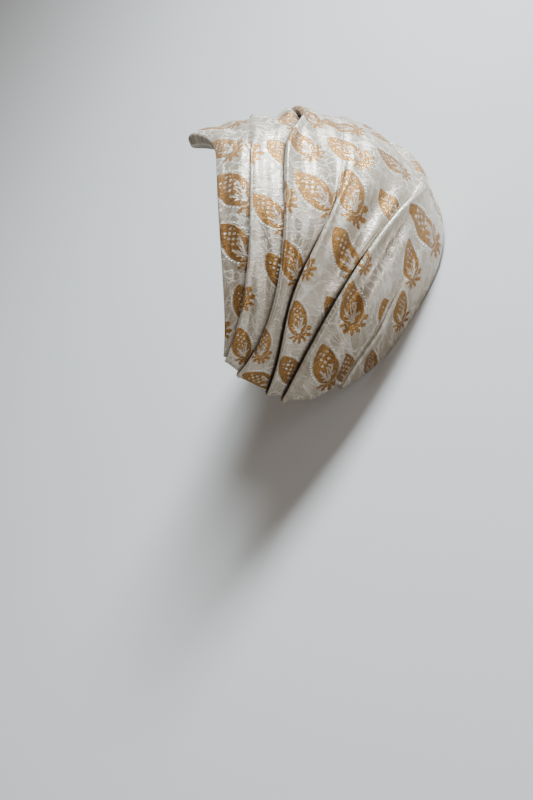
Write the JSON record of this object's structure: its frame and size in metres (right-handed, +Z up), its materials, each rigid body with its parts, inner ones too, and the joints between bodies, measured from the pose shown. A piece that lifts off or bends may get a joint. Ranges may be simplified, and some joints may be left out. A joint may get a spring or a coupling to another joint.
{
  "type": "half hat",
  "caption": "Half hat: a saddle-shaped crown of ivory and gold brocade laid in pleats that fan from a tongue over each ear, open at the front and below.",
  "frame": {"origin": "centre of the bounding box on the surface that the hat rests on", "axes": "+Z up, -Y towards the front of the hat, +X towards the wearer's left ear; the hat lies tilted back 49 degrees from how it is worn"},
  "size_m": [0.1634, 0.1084, 0.1187],
  "materials": {
    "brocade": "ivory satin jacquard with fine ribs, tonal vermicelli and woven metallic gold leaf buds; soft sheen"
  },
  "bodies": {
    "root": {"pleated_crown": "brocade"}
  },
  "joints": []
}
